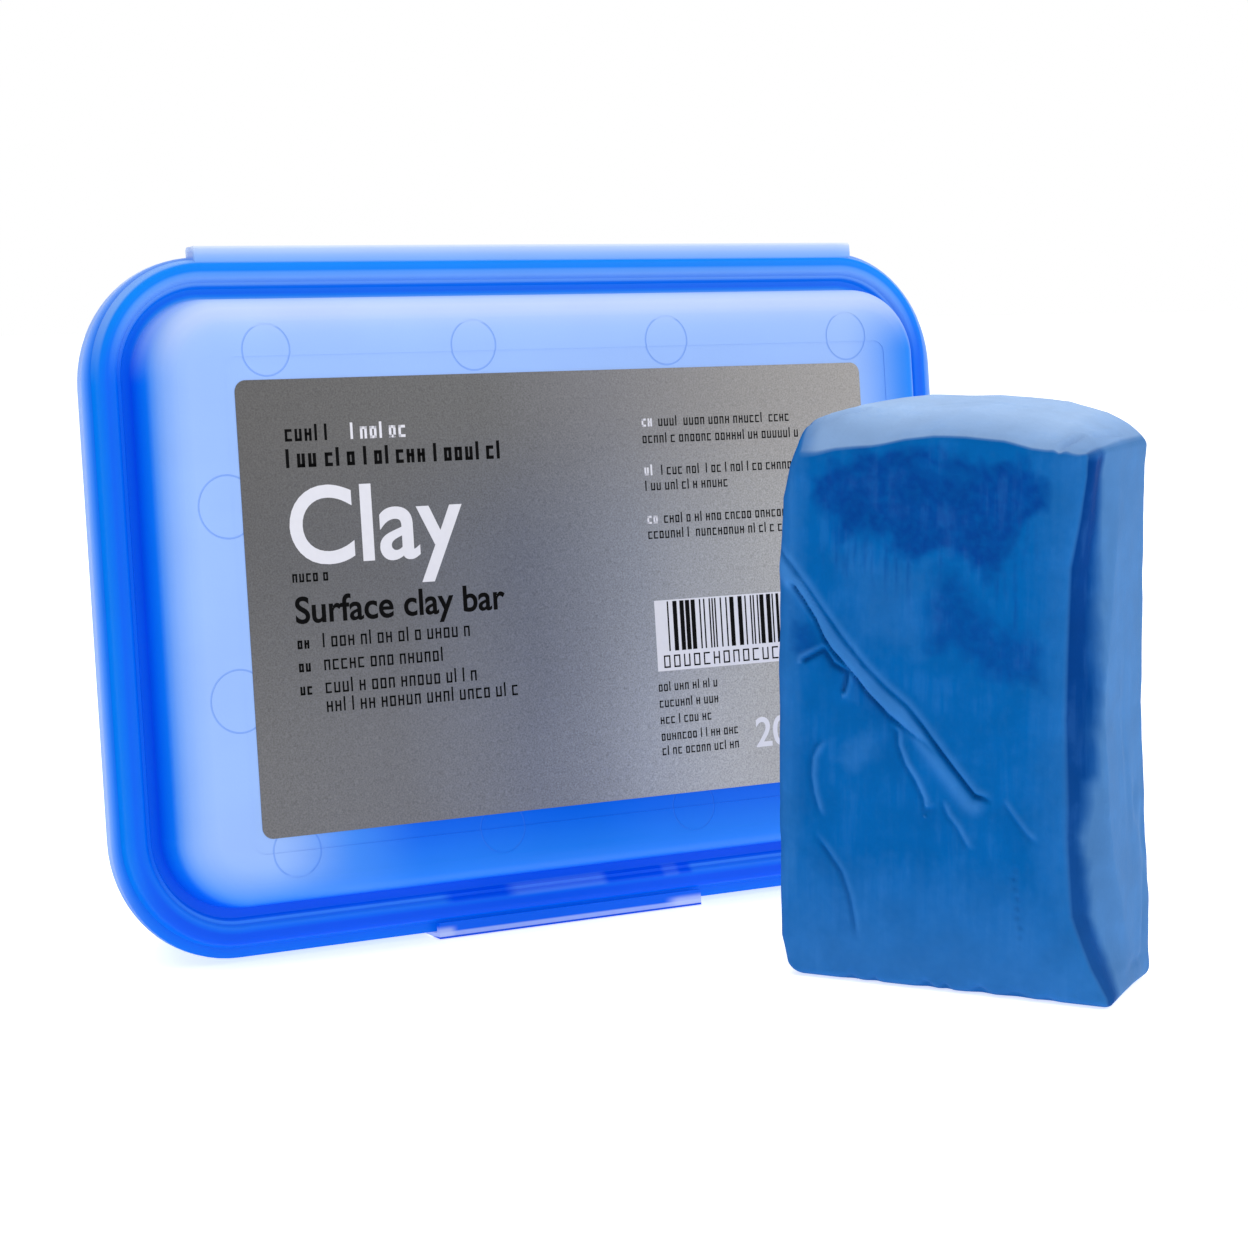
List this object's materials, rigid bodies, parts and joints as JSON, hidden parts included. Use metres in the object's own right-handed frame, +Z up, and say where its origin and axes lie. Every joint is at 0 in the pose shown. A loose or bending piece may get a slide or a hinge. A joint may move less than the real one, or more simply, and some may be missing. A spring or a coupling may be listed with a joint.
{
  "type": "clay bar",
  "caption": "Block of detailing clay standing beside its translucent hinged storage case, which has a living hinge, a snap latch tab and a printed label.",
  "frame": {"origin": "middle of the latch tab's sole, where the closed case stands on the ground, on the case's parting line", "axes": "+Z up, +X along the case's hinge to the viewer's right, -Y from the case towards the viewer, who reads the label"},
  "size_m": [0.192, 0.1551, 0.1334],
  "materials": {
    "case_plastic": "translucent blue polypropylene, satin outside, glossy on the rim",
    "film_plastic": "thin pale translucent polypropylene",
    "tab_plastic": "translucent blue polypropylene with a frosted lower edge",
    "label_film": "dark grey metallic film with fine grain",
    "clay": "matt kneaded clay with creases and smeared patches"
  },
  "bodies": {
    "lid_half": {"case_lid": "case_plastic", "lid_label": "label_film", "hinge_film": "film_plastic"},
    "base_half": {"case_base": "case_plastic"},
    "latch": {"latch_tab": "tab_plastic"},
    "clay": {"clay_bar": "clay"}
  },
  "joints": [
    {"name": "case_hinge", "type": "hinge", "parent": "lid_half", "child": "base_half", "pos_m": [0.0014, 0.01561, 0.13324], "axis": [1, 0, 0], "range_deg": [0, 180], "deforming": ["hinge_film"]},
    {"name": "latch_flex", "type": "hinge", "parent": "lid_half", "child": "latch", "pos_m": [-0.0006, -0.00111, 0.003], "axis": [-1, 0, 0], "range_deg": [0, 22], "stiffness_Nm_per_rad": 0.001},
    {"name": "clay_lift", "type": "slide", "parent": "lid_half", "child": "clay", "axis": [0, 0, 1], "range_m": [0, 0.15]}
  ]
}
